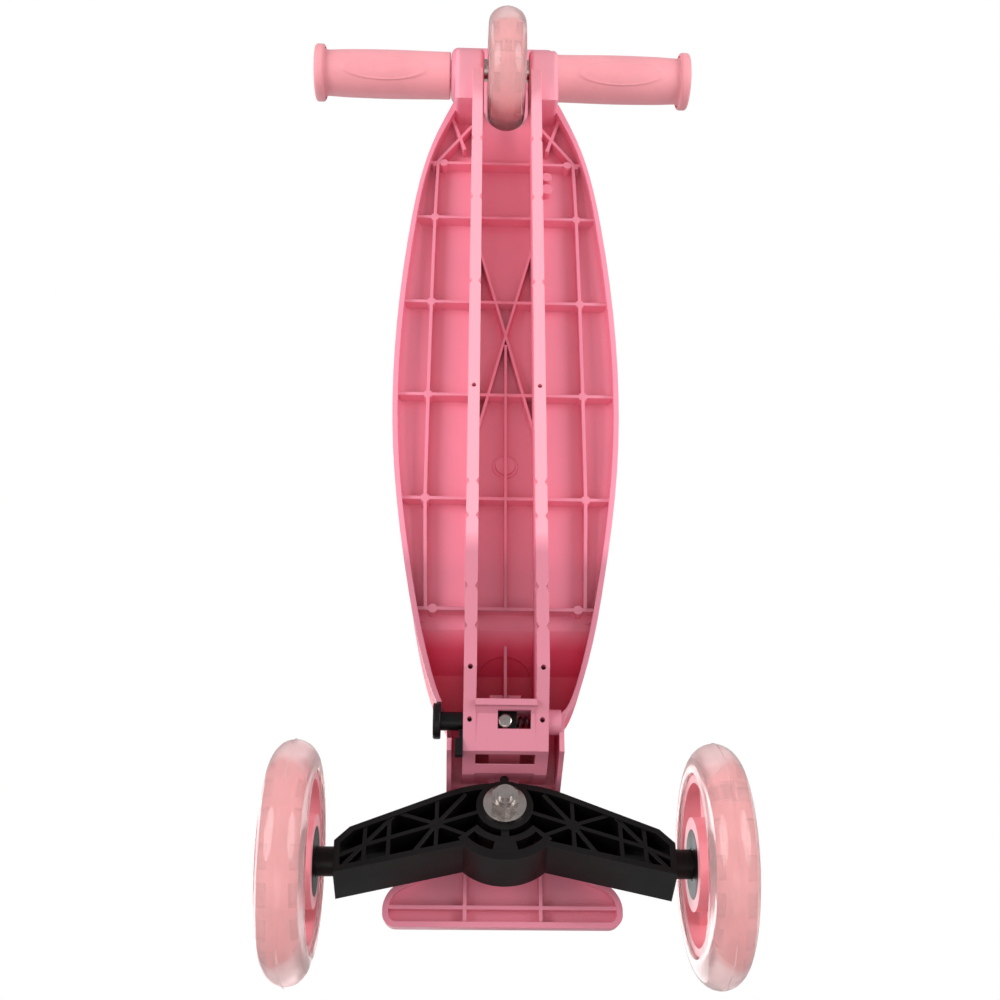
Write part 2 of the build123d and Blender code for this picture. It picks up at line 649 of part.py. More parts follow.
def coil(name, start, toward, length, r, wire, turns):
    """A compression spring of round wire, from start along toward."""
    pitch = length / turns
    with BuildPart() as spring:
        with BuildLine():
            path = Helix(pitch=pitch, height=length, radius=r - wire / 2, center=start, direction=toward)
        with BuildSketch(Plane(origin=path @ 0, z_dir=path % 0)):
            Circle(wire / 2)
        sweep(is_frenet=True)
    write(spring, name)


spring_start = radians(15.5)
spring_end = radians(44.0)
mid_r = (pocket_in + pocket_out) / 2
for side_name, sign in (("left", 1), ("right", -1)):
    a = yoke_plane.from_local_coords(Vector(mid_r * cos(spring_start), sign * mid_r * sin(spring_start), 12))
    b = yoke_plane.from_local_coords(Vector(mid_r * cos(spring_end), sign * mid_r * sin(spring_end), 12))
    coil("steering_spring_" + side_name, a, (b - a).normalized(), (b - a).length, 2.3, 0.7, 7)


# ---- wheels ------------------------------------------------------------------------------------
bearing_r = 11.0
bearing_w = 7.0
bearing_outer = wheel_width / 2 - 0.5       # bearing's outer face from the wheel's middle
ring_share = 0.45             # depth of the light ring over the tyre's
insert_r = 17.0
insert_depth = 3.2


def turned(name, x, y, r, *rings):
    """A piece turned about a wheel's axle, from (inner radius, outer radius, low y, high y) rings."""
    with BuildPart() as piece:
        for r0, r1, y0, y1 in rings:
            with BuildSketch(wheel_plane(x, y, r)) as face:
                with Locations(((r0 + r1) / 2, (y0 + y1) / 2)):
                    Rectangle(r1 - r0, y1 - y0)
            revolve(face.sketch, axis=Axis((x, y, r), (0, 1, 0)))
    write(piece, name)


def wheel(name, x, y, r, depth, hub, spokes, insert):
    """Tyre, light ring, core, bearings and spacer of one wheel."""
    half = wheel_width / 2
    rim = r - depth
    ring_depth = ring_share * depth
    ring_half = 0.7 * half
    with BuildPart() as tyre:
        with BuildSketch(wheel_plane(x, y, r)) as face:
            with BuildLine():
                crown = ThreePointArc((r - 0.75 * depth, -half), (r, 0), (r - 0.75 * depth, half))
                Polyline(crown @ 0, (rim + 2, -half), (rim, -half + 2), (rim, half - 2), (rim + 2, half),
                         crown @ 1)
            make_face()
            with Locations((rim + ring_depth / 2, 0)):
                Rectangle(ring_depth + 0.4, 2 * (ring_half + 0.2), mode=Mode.SUBTRACT)
        revolve(face.sketch, axis=Axis((x, y, r), (0, 1, 0)))
    write(tyre, name + "_tyre")
    turned(name + "_light_ring", x, y, r, (rim + seated, rim + ring_depth, -ring_half, ring_half))
    with BuildPart() as core:
        with BuildSketch(Plane(origin=(x, y, r), x_dir=(1, 0, 0), z_dir=(0, 1, 0))) as web:
            with PolarLocations((hub + rim) / 2 - 1, spokes):
                Rectangle(rim - hub, 13)
            Circle(hub - 1)
        extrude(web.sketch, amount=4.5, both=True)
        with BuildSketch(Plane(origin=(x, y, r), x_dir=(1, 0, 0), z_dir=(0, 1, 0))) as rim_ring:
            Circle(rim - seated)
            Circle(rim - 4, mode=Mode.SUBTRACT)
        extrude(rim_ring.sketch, amount=half - 2, both=True)
        rod(x, r, hub, y - half + 0.2, y + half - 0.2)
        rod(x, r, bearing_r + seated, y - half - 1, y + half + 1, mode=Mode.SUBTRACT)
        if insert:
            rod(x, r, insert_r, y - half, y - half + insert_depth, mode=Mode.SUBTRACT)
            rod(x, r, insert_r, y + half, y + half - insert_depth, mode=Mode.SUBTRACT)
    write(core, name + "_core")
    turned(name + "_bearings", x, y, r,
           (axle_r + running, bearing_r, bearing_outer - bearing_w, bearing_outer),
           (axle_r + running, bearing_r, -bearing_outer, -bearing_outer + bearing_w))
    reach = bearing_outer - bearing_w - seated
    turned(name + "_spacer", x, y, r, (axle_r + 0.4, bearing_r - 3, -reach, reach))
    if insert:
        turned(name + "_hub_inserts", x, y, r,
               (bearing_r + 0.2, insert_r - seated, half - insert_depth + seated, half - 0.4),
               (axle_r + 4, bearing_r + 0.3, half - 0.45, half - 0.1),
               (bearing_r + 0.2, insert_r - seated, half - 0.5, half - 0.1),
               (bearing_r + 0.2, insert_r - seated, -half + 0.4, -half + insert_depth - seated),
               (axle_r + 4, bearing_r + 0.3, -half + 0.1, -half + 0.45),
               (bearing_r + 0.2, insert_r - seated, -half + 0.1, -half + 0.5))


wheel("front_left", front_x, track / 2, front_wheel_r, tyre_depth, hub_r, 6, True)
wheel("front_right", front_x, -track / 2, front_wheel_r, tyre_depth, hub_r, 6, True)
wheel("rear", rear_x, 0, rear_wheel_r, rear_tyre_depth, rear_hub_r, 5, False)

axle_tip = track / 2 + bearing_outer + 0.2
for side_name, sign in (("left", 1), ("right", -1)):
    with BuildPart() as axle:
        rod(front_x, front_wheel_r, axle_r, sign * (yoke_reach - 26), sign * (axle_tip + 1))
        hex_rod(front_x, front_wheel_r, nut_flats, sign * axle_tip, sign * (axle_tip + head_h))
    write(axle, "front_axle_" + side_name)

with BuildPart() as rear_axle:
    rod(rear_x, rear_wheel_r, axle_r, -ear_outer + 0.5, ear_outer - head_h)
    hex_rod(rear_x, rear_wheel_r, nut_flats, ear_outer - head_h - 0.5, ear_outer - 0.5)
write(rear_axle, "rear_axle")


def nut_on(name, x, z, y0):
    """A locking nut along -Y, its face at y0."""
    with BuildPart() as nut:
        hex_rod(x, z, nut_flats, y0, y0 - nut_h + 2.2)
        rod(x, z, 5.8, y0 - nut_h + 2.4, y0 - nut_h)
        rod(x, z, axle_r + seated, y0 + 1, y0 - nut_h - 1, mode=Mode.SUBTRACT)
    write(nut, name)


nut_on("rear_axle_nut", rear_x, rear_wheel_r, -ear_outer + nut_h + 2.0)
turned("rear_axle_spacers", rear_x, 0, rear_wheel_r,
       (axle_r + seated, 7.0, bearing_outer + 0.2, ear_inner),
       (axle_r + seated, 7.0, -ear_inner, -bearing_outer - 0.2))

# ---- fold hinge --------------------------------------------------------------------------------
ear_face = 27.0
with BuildPart() as fold_bolt:
    rod(fold_x, fold_z, axle_r, -ear_face - nut_h - 1.5, ear_face + 1)
    hex_rod(fold_x, fold_z, nut_flats, ear_face, ear_face + head_h)
write(fold_bolt, "fold_bolt")
nut_on("fold_nut", fold_x, fold_z, -ear_face)

# ---- stem, folded back over the deck -----------------------------------------------------------
foot_half = 20.0
foot_end = fold_x + seat_gap - 0.3
tube_seat = fold_x - 18.0
tube_top = fold_x - 345.0
upper_start = fold_x - 130.0
socket_r = lower_tube_r + 5.0
with BuildPart() as stem_foot:
    rod(fold_x, fold_z, seat_gap - 0.3, -foot_half, foot_half)
    across([(foot_end, fold_z), (foot_end, stem_z + socket_r - 5), (foot_end - 5, stem_z + socket_r),
            (fold_x - 26, stem_z + socket_r), (fold_x - 26, stem_z - 19), (fold_x - 10, fold_z - 9.3)],
           0, 2 * foot_half)
    tube_x(stem_z, socket_r, fold_x - 66, fold_x - 22)
    fillet(stem_foot.edges().filter_by(GeomType.CIRCLE).sort_by(Axis.X)[:1], 2.5)
    box_between((foot_end - 1, -tongue_width / 2, fold_z + tongue_low),
                (fold_x + tongue_reach, tongue_width / 2, fold_z + tongue_high))
    tube_x(stem_z, lower_tube_r + seated, fold_x - 70, tube_seat, mode=Mode.SUBTRACT)
    rod(fold_x, fold_z, axle_r + running, -30, 30, mode=Mode.SUBTRACT)
    rod(fold_x - 48, stem_z, 2.5 + seated, -30, 30, mode=Mode.SUBTRACT)
write(stem_foot, "stem_foot")

with BuildPart() as lower_tube:
    tube_x(stem_z, lower_tube_r, tube_top, tube_seat)
    tube_x(stem_z, lower_tube_r - tube_wall, tube_top - 1, tube_seat + 1, mode=Mode.SUBTRACT)
    rod(fold_x - 48, stem_z, 2.5 + seated, -30, 30, mode=Mode.SUBTRACT)
write(lower_tube, "lower_tube")

with BuildPart() as foot_screw:
    rod(fold_x - 48, stem_z, 2.5, -socket_r - 1.5, socket_r + 1)
    rod(fold_x - 48, stem_z, 4.5, socket_r, socket_r + 3)
write(foot_screw, "foot_screw")

collar_r = lower_tube_r + 4.5
button_x = tube_top + 14.0
button_r = 5.0
button_top = stem_z + lower_tube_r + 11.0
with BuildPart() as height_collar:
    tube_x(stem_z, collar_r, tube_top - 3, tube_top + 40)
    fillet(height_collar.edges().filter_by(GeomType.CIRCLE), 2.0)
    with Locations((button_x, 0, stem_z + lower_tube_r + 1)):
        Cylinder(button_r + 3.5, 14)
    tube_x(stem_z, lower_tube_r + seated, tube_top, tube_top + 50, mode=Mode.SUBTRACT)
    tube_x(stem_z, upper_tube_r + 0.5, tube_top - 10, tube_top + 50, mode=Mode.SUBTRACT)
    with Locations((button_x, 0, stem_z + lower_tube_r + 7)):
        Cylinder(button_r + running, 14, mode=Mode.SUBTRACT)
write(height_collar, "height_collar")

with BuildPart() as collar_bush:
    tube_x(stem_z, lower_tube_r - tube_wall - seated, tube_top, tube_top + 32)
    tube_x(stem_z, upper_tube_r + running, tube_top - 1, tube_top + 33, mode=Mode.SUBTRACT)
write(collar_bush, "collar_bush")

with BuildPart() as height_button:
    with Locations((button_x, 0, button_top - 3.5)):
        Cylinder(button_r, 7)
    fillet(height_button.edges().sort_by(Axis.Z)[-1], 1.2)
write(height_button, "height_button")
coil("button_spring", Vector(button_x, 0, stem_z + lower_tube_r + 0.5), Vector(0, 0, 1), 3.2, 3.5, 0.6, 2.5)

with BuildPart() as upper_tube:
    tube_x(stem_z, upper_tube_r, bar_x + 13, upper_start)
    tube_x(stem_z, upper_tube_r - tube_wall, bar_x + 12, upper_start + 1, mode=Mode.SUBTRACT)
    with Locations((bar_x + 34, 0, stem_z + 12)):
        Cylinder(2.5 + seated, 12, mode=Mode.SUBTRACT)
write(upper_tube, "upper_tube")

with BuildPart() as tube_guide:
    tube_x(stem_z, lower_tube_r - tube_wall - 0.1, upper_start, upper_start + 8)
    tube_x(stem_z, upper_tube_r - tube_wall - running, upper_start - 15, upper_start + 1)
write(tube_guide, "tube_guide")

joint_half = 37.0
with BuildPart() as t_joint:
    rod(bar_x, stem_z, flange_r - 0.5, -joint_half, joint_half)
    fillet(t_joint.edges().filter_by(GeomType.CIRCLE), 5.0)
    tube_x(stem_z, upper_tube_r + 4.5, bar_x, bar_x + 46)
    fillet(t_joint.edges().filter_by(GeomType.CIRCLE).sort_by(Axis.X)[-1], 2.5)
    rod(bar_x, stem_z, bar_r + seated, -60, 60, mode=Mode.SUBTRACT)
    tube_x(stem_z, upper_tube_r + seated, bar_x + 12.5, bar_x + 50, mode=Mode.SUBTRACT)
    with Locations((bar_x + 34, 0, stem_z + 18)):
        Cylinder(2.5 + seated, 12, mode=Mode.SUBTRACT)
write(t_joint, "t_joint")

with BuildPart() as joint_screw:
    with Locations((bar_x + 34, 0, stem_z + 15)):
        Cylinder(2.5, 8)
    with Locations((bar_x + 34, 0, stem_z + 20)):
        Cylinder(4.5, 2.8)
write(joint_screw, "joint_screw")

grip_end = bar_length / 2
with BuildPart() as handlebar:
    rod(bar_x, stem_z, bar_r, -grip_end + 3, grip_end - 3)
    rod(bar_x, stem_z, bar_r - tube_wall, -grip_end, grip_end, mode=Mode.SUBTRACT)
write(handlebar, "handlebar")

for side_name, sign in (("left", 1), ("right", -1)):
    with BuildPart() as grip:
        rod(bar_x, stem_z, grip_r, sign * (joint_half + 0.5), sign * grip_end)
        rod(bar_x, stem_z, flange_r, sign * (grip_end - 8), sign * grip_end)
        fillet(grip.edges().filter_by(GeomType.CIRCLE).group_by(SortBy.RADIUS)[-1], 2.5)
        rod(bar_x, stem_z, bar_r + seated, 0, sign * (grip_end - 2.7), mode=Mode.SUBTRACT)
    write(grip, "grip_" + side_name)

# ---- brake over the rear wheel -----------------------------------------------------------------
brake_from = 38.0
brake_to = 122.0
with BuildPart() as brake_fender:
    with BuildSketch(side()) as arch:
        with BuildLine():
            top = CenterArc((rear_x, rear_wheel_r), brake_r + brake_t, brake_from, brake_to - brake_from)
            under = CenterArc((rear_x, rear_wheel_r), brake_r, brake_from, brake_to - brake_from)
            Line(top @ 0, under @ 0)
            Line(top @ 1, under @ 1)
        make_face()
    extrude(arch.sketch, amount=brake_half, both=True)
    across([((under @ 0).X, (under @ 0).Y), ((top @ 0).X - 2, (top @ 0).Y + 2),
            (brake_x, brake_z + brake_barrel_r), (brake_x - 3, brake_z - 2.6)], 0, 2 * brake_half)
    rod(brake_x, brake_z, brake_barrel_r, -brake_half, brake_half)
    rod(brake_x, brake_z, brake_barrel_r + 2.5, -4, 4, mode=Mode.SUBTRACT)
    rod(brake_x, brake_z, brake_pin_r + running, -20, 20, mode=Mode.SUBTRACT)
write(brake_fender, "brake_fender")

with BuildPart() as brake_pin:
    rod(brake_x, brake_z, brake_pin_r, -brake_half - 4.5, brake_half + 4.5)
write(brake_pin, "brake_pin")
coil("brake_spring", Vector(brake_x, -3.4, brake_z), Vector(0, 1, 0), 6.8, 3.4, 1.0, 5)

# ---- fold lock ---------------------------------------------------------------------------------
slider_in = -5.5
slider_out = rail_inside / 2 - 0.3
with BuildPart() as lock_slider:
    box_between((lock_x - 4.6, slider_in, lock_z - 3.6), (lock_x + 4.6, slider_out, lock_z + 4.2))
    rod(lock_x, lock_z, lock_shaft_r, slider_out - 1, knob_in + 1)
    rod(lock_x, lock_z, lock_spring_r + 0.4, slider_in - 1, slider_in + 3.6, mode=Mode.SUBTRACT)
    with Locations((front_x - 68.1, screw_y, lock_z - 3)):
        Cylinder(1.9 + seated, 5, mode=Mode.SUBTRACT)
write(lock_slider, "lock_slider")

with BuildPart() as lock_knob:
    rod(lock_x, lock_z, knob_r, knob_in, knob_in + 4)
    fillet(lock_knob.edges(), 0.9)
    rod(lock_x, lock_z, lock_shaft_r + seated, knob_in - 1, knob_in + 1 + seated, mode=Mode.SUBTRACT)
write(lock_knob, "lock_knob")

with BuildPart() as lock_screw:
    with Locations((front_x - 68.1, screw_y, lock_z - 2.6)):
        Cylinder(1.9, 4)
    with Locations((front_x - 68.1, screw_y, lock_z - 5.2)):
        Cylinder(3.75, 3.0)
    fillet(lock_screw.faces().sort_by(Axis.Z)[0].edges(), 1.2)
    for size in ((4.2, 0.9, 1.4), (0.9, 4.2, 1.4)):
        with Locations((front_x - 68.1, screw_y, lock_z - 6.4)):
            Box(*size, mode=Mode.SUBTRACT)
write(lock_screw, "lock_screw")
coil("lock_spring", Vector(lock_x, slider_in + 3.0, lock_z), Vector(0, -1, 0), 23.0, lock_spring_r, 0.8, 8)

with BuildPart() as lock_clip:
    keel_face = rail_y + rail_width / 2
    box_between((lock_x + lock_shaft_r + 0.6, keel_face, lock_z - 5),
                (front_x - 50, knob_in - lock_travel - 0.3, lock_z + 1))
    box_between((lock_x + knob_r + 0.8, keel_face, lock_z - 5), (front_x - 50, keel_face + 4, lock_z + 1))
    fillet(lock_clip.edges().filter_by(Axis.Y).sort_by(Axis.X)[-2:], 1.5)
write(lock_clip, "lock_clip")
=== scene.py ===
import json
import math

import bmesh
import bpy
from mathutils import Matrix, Vector


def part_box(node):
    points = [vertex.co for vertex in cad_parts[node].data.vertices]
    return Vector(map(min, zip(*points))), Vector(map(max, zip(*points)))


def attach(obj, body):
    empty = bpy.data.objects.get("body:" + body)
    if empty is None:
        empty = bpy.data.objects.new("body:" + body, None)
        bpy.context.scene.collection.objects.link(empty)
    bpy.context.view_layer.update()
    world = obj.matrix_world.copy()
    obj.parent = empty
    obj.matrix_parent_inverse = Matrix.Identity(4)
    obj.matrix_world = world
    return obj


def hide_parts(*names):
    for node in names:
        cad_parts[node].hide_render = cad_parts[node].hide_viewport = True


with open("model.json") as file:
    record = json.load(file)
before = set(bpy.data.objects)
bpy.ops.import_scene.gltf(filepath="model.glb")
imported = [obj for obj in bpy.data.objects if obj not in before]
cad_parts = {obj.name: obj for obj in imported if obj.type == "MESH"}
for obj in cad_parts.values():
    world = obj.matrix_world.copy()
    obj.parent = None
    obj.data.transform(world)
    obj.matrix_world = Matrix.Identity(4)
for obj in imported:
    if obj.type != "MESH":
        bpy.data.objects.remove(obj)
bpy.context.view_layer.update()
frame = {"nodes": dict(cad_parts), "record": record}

bl_info = {
    "name": "Folding Kick Scooter",
    "version": (1, 0, 0),
    "blender": (4, 5, 0),
    "location": "View3D > Sidebar > Scooter",
    "description": "Dresses the packed scooter frame with tyres, grips, fittings and materials",
    "category": "Add Mesh",
}

MM = 0.001
NODES = frame["nodes"]
BODY_OF = {n: b for b, names in frame["record"]["behaviour"]["bodies"].items() for n in names}
SLOT_OF = {s["node"]: s["material_slot"] for s in frame["record"]["subparts"]}
WHEELS = ("front_left", "front_right", "rear")


# ---- places read from the frame ---------------------------------------------------------------
def centre(node):
    """Middle of a node's box."""
    low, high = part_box(node)
    return (low + high) / 2


def half_size(node, axis):
    """Half of a node's box along one axis."""
    low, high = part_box(node)
    return (high[axis] - low[axis]) / 2


# ---- materials --------------------------------------------------------------------------------
def nodes_of(name):
    """A fresh material with its tree, shader and Object coordinates."""
    material = bpy.data.materials.new(name)
    material.use_nodes = True
    tree = material.node_tree
    shader = tree.nodes["Principled BSDF"]
    coords = tree.nodes.new("ShaderNodeTexCoord")
    return material, tree, shader, coords.outputs["Object"]


def noise(tree, coords, scale, detail=3.0, roughness=0.5):
    texture = tree.nodes.new("ShaderNodeTexNoise")
    texture.inputs["Scale"].default_value = scale
    texture.inputs["Detail"].default_value = detail
    texture.inputs["Roughness"].default_value = roughness
    tree.links.new(coords, texture.inputs["Vector"])
    return texture.outputs["Fac"]


def spread(tree, value, low, high, start=0.3, stop=0.7):
    """Maps a texture's middle range onto low to high."""
    ramp = tree.nodes.new("ShaderNodeMapRange")
    ramp.inputs["From Min"].default_value = start
    ramp.inputs["From Max"].default_value = stop
    ramp.inputs["To Min"].default_value = low
    ramp.inputs["To Max"].default_value = high
    tree.links.new(value, ramp.inputs["Value"])
    return ramp.outputs["Result"]


def two_tone(tree, factor, first, second):
    mix = tree.nodes.new("ShaderNodeMix")
    mix.data_type = "RGBA"
    mix.inputs["A"].default_value = (*first, 1)
    mix.inputs["B"].default_value = (*second, 1)
    tree.links.new(factor, mix.inputs["Factor"])
    return mix.outputs["Result"]


def relief(tree, shader, height, strength, distance):
    """Bump from a height, in metres."""
    bump = tree.nodes.new("ShaderNodeBump")
    bump.inputs["Strength"].default_value = strength
    bump.inputs["Distance"].default_value = distance
    tree.links.new(height, bump.inputs["Height"])
    tree.links.new(bump.outputs["Normal"], shader.inputs["Normal"])
    return bump


def shade(colour, factor):
    return tuple(min(1.0, c * factor) for c in colour)


def moulded(name, colour, gloss, grain=2600.0, mottle=0.05, coat=0.0, shine=0.5):
    """Injection moulded plastic: slight flow mottling and the fine texture of the tool."""
    material, tree, shader, coords = nodes_of(name)
    flow = noise(tree, coords, 14.0, 4.0, 0.6)
    tone = two_tone(tree, spread(tree, flow, 0, 1), shade(colour, 1 - mottle), shade(colour, 1 + mottle))
    tree.links.new(tone, shader.inputs["Base Color"])
    rough = spread(tree, noise(tree, coords, 60.0), gloss - 0.05, gloss + 0.07)
    tree.links.new(rough, shader.inputs["Roughness"])
    round_edges(tree, shader, noise(tree, coords, grain, 2.0), 0.0005)
    shader.inputs["Specular IOR Level"].default_value = shine
    shader.inputs["Coat Weight"].default_value = coat
    shader.inputs["Coat Roughness"].default_value = 0.2
    return material


def place_mask(tree, coords, axis, start, stop):
    """0 before start and 1 after stop, along one Object axis, in metres."""
    parts = tree.nodes.new("ShaderNodeSeparateXYZ")
    tree.links.new(coords, parts.inputs["Vector"])
    value = parts.outputs[axis]
    if axis == "Y":
        size = tree.nodes.new("ShaderNodeMath")
        size.operation = "ABSOLUTE"
        tree.links.new(value, size.inputs[0])
        value = size.outputs["Value"]
    return spread(tree, value, 0.0, 1.0, start, stop)


def times(tree, first, second):
    product = tree.nodes.new("ShaderNodeMath")
    product.operation = "MULTIPLY"
    tree.links.new(first, product.inputs[0])
    tree.links.new(second, product.inputs[1])
    return product.outputs["Value"]


def blend_to(tree, colour, factor, target):
    """Blends a colour socket towards a fixed colour."""
    mix = tree.nodes.new("ShaderNodeMix")
    mix.data_type = "RGBA"
    mix.inputs["B"].default_value = (*target, 1)
    tree.links.new(colour, mix.inputs["A"])
    tree.links.new(factor, mix.inputs["Factor"])
    return mix.outputs["Result"]


# Painted highlight: the keels' lower feet, lit from underneath, are painted paler between these heights.
HIGHLIGHT_TOP, HIGHLIGHT_LOW = 0.040, 0.028       # heights between which the keels' feet turn paler
BLOCK_REAR, BLOCK_FULL = 0.096, 0.108   # where the keels end and the fold block begins


def deck_plastic(name, colour, ramp_shade_colour, pale, gloss):
    """The deck's plastic, with painted light: a painted highlight on the keels' feet, painted shade on the
    fold block and a deeper pink painted shade in the recess round the ramp.
    """
    material, tree, shader, coords = nodes_of(name)
    flow = noise(tree, coords, 14.0, 4.0, 0.6)
    tone = two_tone(tree, spread(tree, flow, 0, 1), shade(colour, 0.96), shade(colour, 1.04))
    high = place_mask(tree, coords, "Z", 0.044, 0.055)
    # Painted highlight: the keels' lit feet, to the rear of where the fold block begins, blend towards the
    # paler colour.
    lit_feet = place_mask(tree, coords, "Z", HIGHLIGHT_TOP, HIGHLIGHT_LOW)
    lit_feet = times(tree, lit_feet, place_mask(tree, coords, "X", BLOCK_FULL, BLOCK_REAR))
    # Painted shade: the low plastic from the fold block forwards is painted darker.
    block = times(tree, place_mask(tree, coords, "Z", 0.060, 0.050),
                  place_mask(tree, coords, "X", BLOCK_REAR, BLOCK_FULL))
    # Painted shade: the high floor of the recess round the ramp is blended to a deeper pink. The mask has no
    # upper limit, so surfaces above it there get it too.
    ramp = times(tree, high, place_mask(tree, coords, "X", 0.138, 0.150))
    ramp = times(tree, ramp, place_mask(tree, coords, "X", 0.212, 0.200))
    tone = blend_to(tree, tone, ramp, ramp_shade_colour)
    tone = blend_to(tree, tone, lit_feet, pale)
    tone = blend_to(tree, tone, block, shade(colour, 0.72))
    tree.links.new(tone, shader.inputs["Base Color"])
    rough = spread(tree, noise(tree, coords, 60.0), gloss - 0.05, gloss + 0.07)
    tree.links.new(rough, shader.inputs["Roughness"])
    round_edges(tree, shader, noise(tree, coords, 2600.0, 2.0), 0.0007)
    return material


def round_edges(tree, shader, grain, radius):
    """Softens a piece's sharp edges, under its fine grain."""
    bevel = tree.nodes.new("ShaderNodeBevel")
    bevel.samples = 4
    bevel.inputs["Radius"].default_value = radius
    bump = relief(tree, shader, grain, 0.35, 0.00004)
    tree.links.new(bevel.outputs["Normal"], bump.inputs["Normal"])


def plated(name, colour, gloss, streak=(40.0, 900.0, 900.0)):
    """Plated or drawn metal with faint drawing lines and handling marks."""
    material, tree, shader, coords = nodes_of(name)
    mapping = tree.nodes.new("ShaderNodeMapping")
    mapping.inputs["Scale"].default_value = streak
    tree.links.new(coords, mapping.inputs["Vector"])
    lines = noise(tree, mapping.outputs["Vector"], 1.0, 2.0)
    marks = noise(tree, coords, 220.0, 4.0)
    tone = two_tone(tree, spread(tree, marks, 0, 1), shade(colour, 0.86), shade(colour, 1.05))
    tree.links.new(tone, shader.inputs["Base Color"])
    tree.links.new(spread(tree, marks, gloss, gloss + 0.14), shader.inputs["Roughness"])
    shader.inputs["Metallic"].default_value = 1.0
    relief(tree, shader, lines, 0.12, 0.00003)
    return material


def clear_urethane(name, tint, milk):
    """Soft clear tyre: slightly milky, with faint swirls of colour."""
    material, tree, shader, coords = nodes_of(name)
    swirl = noise(tree, coords, 55.0, 4.0, 0.6)
    tone = two_tone(tree, spread(tree, swirl, 0, 1, 0.42, 0.6), shade(tint, 1.0), shade(tint, 0.93))
    tree.links.new(tone, shader.inputs["Base Color"])
    tree.links.new(spread(tree, noise(tree, coords, 160.0), 0.06, 0.2), shader.inputs["Roughness"])
    shader.inputs["Transmission Weight"].default_value = 1.0 - milk
    shader.inputs["IOR"].default_value = 1.36
    relief(tree, shader, noise(tree, coords, 260.0, 3.0), 0.25, 0.00015)
    return material


def rubber(name, colour, gloss):
    """Soft thermoplastic rubber of the grips and the deck's pad."""
    material, tree, shader, coords = nodes_of(name)
    flow = noise(tree, coords, 30.0, 5.0, 0.6)
    tone = two_tone(tree, spread(tree, flow, 0, 1), shade(colour, 0.94), shade(colour, 1.05))
    tree.links.new(tone, shader.inputs["Base Color"])
    rough = spread(tree, noise(tree, coords, 90.0), gloss - 0.05, gloss + 0.1)
    tree.links.new(rough, shader.inputs["Roughness"])
    shader.inputs["Sheen Weight"].default_value = 0.15
    shader.inputs["Sheen Roughness"].default_value = 0.5
    relief(tree, shader, noise(tree, coords, 3200.0, 2.0), 0.5, 0.00005)
    return material


def make_materials(colours):
    """Every material slot of the record, by name."""
    return {
        # The deck's material carries painted shade round the ramp and on the fold block, and a painted
        # highlight on the keels' feet.
        "pink_plastic": deck_plastic("pink_plastic", colours.deck_pink, colours.ramp_shade_pink,
                                     colours.keel_highlight_pink, 0.42),
        "core_pink": moulded("core_pink", colours.wheel_pink, 0.38),
        "ring_pink": moulded("ring_pink", colours.ring_pink, 0.45),
        "black_plastic": moulded("black_plastic", colours.black, 0.42, mottle=0.2, shine=0.2),
        "black_nylon": moulded("black_nylon", colours.black, 0.38, mottle=0.2, shine=0.22),
        "grip_rubber": rubber("grip_rubber", colours.grip_pink, 0.55),
        "grip_pad": rubber("grip_pad", colours.pad_pink, 0.6),
        "clear_tyre": clear_urethane("clear_tyre", colours.tyre_tint, 0.25),
        "zinc_steel": plated("zinc_steel", (0.50, 0.45, 0.43), 0.16),
        "spring_steel": plated("spring_steel", (0.06, 0.055, 0.055), 0.3),
        "bearing_steel": plated("bearing_steel", (0.10, 0.095, 0.095), 0.3),
        "bright_tube": plated("bright_tube", (0.82, 0.82, 0.84), 0.26, (900.0, 40.0, 900.0)),
        "bush_bronze": plated("bush_bronze", (0.6, 0.42, 0.2), 0.4),
        "painted_tube": moulded("painted_tube", colours.deck_pink, 0.25, 5200.0, 0.03, coat=0.5),
    }


MATERIALS = {}


def dress(piece, slot):
    """Gives a piece its slot's material, on every face."""
    piece.data.materials.clear()
    piece.data.materials.append(MATERIALS[slot])


# ---- mesh helpers -----------------------------------------------------------------------------
def finish_piece(bm, name, slot, body, *replaced, smooth=35.0):
    """Turns a bmesh into a piece that rides on its body and stands for CAD nodes."""
    bmesh.ops.remove_doubles(bm, verts=bm.verts, dist=1e-6)
    bmesh.ops.recalc_face_normals(bm, faces=bm.faces)
    mesh = bpy.data.meshes.new(name)
    bm.to_mesh(mesh)
    bm.free()
    piece = bpy.data.objects.new(name, mesh)
    bpy.context.scene.collection.objects.link(piece)
    mesh.shade_smooth()
    mesh.set_sharp_from_angle(angle=math.radians(smooth))
    dress(piece, slot)
    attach(piece, body)
    if replaced:
        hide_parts(*replaced)
    return piece


def lathe(bm, profile, centre_point, axis, steps, closed=True):
    """Spins a profile of (radius, distance along the axis) points about an axis."""
    axis = Vector(axis).normalized()
    out = axis.orthogonal().normalized()
    verts = [bm.verts.new(Vector(centre_point) + out * r + axis * d) for r, d in profile]
    edges = [bm.edges.new(pair) for pair in zip(verts, verts[1:])]
    if closed:
        edges.append(bm.edges.new((verts[-1], verts[0])))
    spun = bmesh.ops.spin(bm, geom=verts + edges, cent=centre_point, axis=axis, angle=math.tau, steps=steps,
                          use_merge=True)
    bmesh.ops.remove_doubles(bm, verts=bm.verts, dist=1e-7)
    return spun


def arc(cx, cy, r, start, stop, count):
    """Points along an arc, angles in degrees."""
    angles = [math.radians(start + (stop - start) * i / count) for i in range(count + 1)]
    return [(cx + r * math.cos(a), cy + r * math.sin(a)) for a in angles]


# ---- settings ---------------------------------------------------------------------------------
def colour_property(label, text, default):
    return bpy.props.FloatVectorProperty(name=label, description=text, default=default, subtype="COLOR",
                                         min=0.0, max=1.0)


